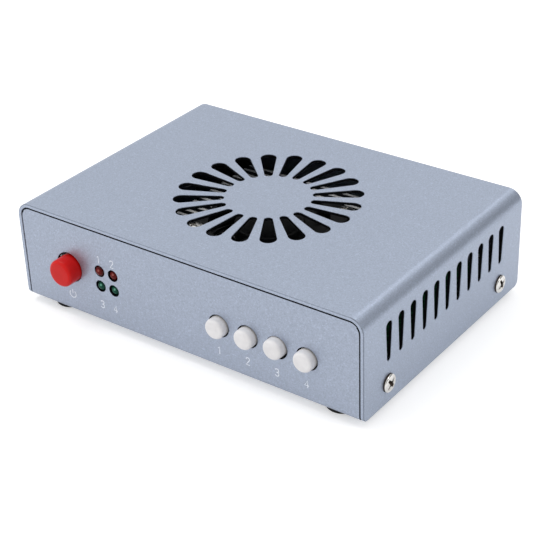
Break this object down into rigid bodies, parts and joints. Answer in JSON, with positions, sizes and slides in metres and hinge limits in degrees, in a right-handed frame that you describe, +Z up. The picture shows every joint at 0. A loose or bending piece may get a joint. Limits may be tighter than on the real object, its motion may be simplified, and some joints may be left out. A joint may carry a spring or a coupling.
{
  "type": "bench controller box",
  "caption": "Small bench controller box: folded metal cover with petal vent and side slots, front panel with red power button, white keys and lamps, fan-cooled board inside.",
  "frame": {"origin": "on the surface the box stands on, below the centre of its outline", "axes": "+X to the box's right as seen from the front, -Y out of the front panel, +Z up"},
  "size_m": [0.112, 0.0822, 0.0307],
  "materials": {
    "cover_paint": "metallic grey-blue powder coat, satin",
    "panel_paint": "metallic grey powder coat, satin",
    "nickel_screw": "nickel plate, bright",
    "zinc_steel": "zinc plate, dull",
    "brass_nickel": "nickel-plated brass",
    "black_rubber": "matt",
    "board_green": "satin solder mask",
    "red_plastic": "moulded, half gloss",
    "white_plastic": "moulded, satin",
    "black_plastic": "moulded, satin",
    "red_lens": "tinted clear, gloss",
    "green_lens": "tinted clear, gloss",
    "chip_black": "moulded, matt",
    "pad_grey": "matt",
    "bright_aluminium": "extruded, bare, satin",
    "fan_black": "moulded, satin",
    "magnet_grey": "bonded magnet, matt",
    "shaft_steel": "ground",
    "bronze": "sintered, dull",
    "copper_coil": "enamelled wire",
    "red_wire": "wire cover",
    "black_wire": "wire cover",
    "ivory_plastic": "moulded, satin",
    "contact_metal": "tin plate, bright",
    "green_plastic": "moulded, satin",
    "can_sleeve": "shrink sleeve",
    "ferrite": "ferrite, matt",
    "ceramic_tan": "ceramic, matt"
  },
  "bodies": {
    "case": {"top_cover": "cover_paint", "base_tray": "panel_paint", "clinch_nuts": "zinc_steel", "cover_screws": "nickel_screw", "rubber_feet": "black_rubber", "standoffs": "brass_nickel", "board_screws": "nickel_screw", "main_board": "board_green", "power_switch": "black_plastic", "key_switch_1": "black_plastic", "key_switch_2": "black_plastic", "key_switch_3": "black_plastic", "key_switch_4": "black_plastic", "lamp_red_1": "red_lens", "lamp_red_2": "red_lens", "lamp_green_1": "green_lens", "lamp_green_2": "green_lens", "lamp_block": "black_plastic", "processor": "chip_black", "thermal_pad": "pad_grey", "heat_sink": "bright_aluminium", "fan_frame": "fan_black", "fan_bearing": "bronze", "fan_stator": "copper_coil", "fan_screws": "nickel_screw", "fan_nuts": "zinc_steel", "fan_header": "ivory_plastic", "fan_lead_red": "red_wire", "fan_lead_black": "black_wire", "dc_jack": "black_plastic", "dc_jack_pin": "contact_metal", "usb_socket": "contact_metal", "usb_tongue": "black_plastic", "output_header": "green_plastic", "output_pins": "contact_metal", "capacitors": "can_sleeve", "inductor": "ferrite", "controller_chip": "chip_black", "small_parts": "ceramic_tan"},
    "power_button": {"power_cap": "red_plastic", "power_plunger": "white_plastic"},
    "key_1": {"key_cap_1": "white_plastic", "key_stem_1": "black_plastic"},
    "key_2": {"key_cap_2": "white_plastic", "key_stem_2": "black_plastic"},
    "key_3": {"key_cap_3": "white_plastic", "key_stem_3": "black_plastic"},
    "key_4": {"key_cap_4": "white_plastic", "key_stem_4": "black_plastic"},
    "rotor": {"fan_rotor": "fan_black", "fan_magnet": "magnet_grey", "fan_shaft": "shaft_steel"}
  },
  "joints": [
    {"name": "power_press", "type": "slide", "parent": "case", "child": "power_button", "axis": [0, 1, 0], "range_m": [0, 0.0025], "stiffness_N_per_m": 700},
    {"name": "key_1_press", "type": "slide", "parent": "case", "child": "key_1", "axis": [0, 1, 0], "range_m": [0, 0.00025], "stiffness_N_per_m": 6000},
    {"name": "key_2_press", "type": "slide", "parent": "case", "child": "key_2", "axis": [0, 1, 0], "range_m": [0, 0.00025], "stiffness_N_per_m": 6000},
    {"name": "key_3_press", "type": "slide", "parent": "case", "child": "key_3", "axis": [0, 1, 0], "range_m": [0, 0.00025], "stiffness_N_per_m": 6000},
    {"name": "key_4_press", "type": "slide", "parent": "case", "child": "key_4", "axis": [0, 1, 0], "range_m": [0, 0.00025], "stiffness_N_per_m": 6000},
    {"name": "fan_spin", "type": "hinge", "parent": "case", "child": "rotor", "pos_m": [0, 0.0015, 0.02], "axis": [0, 0, 1], "continuous": true}
  ]
}
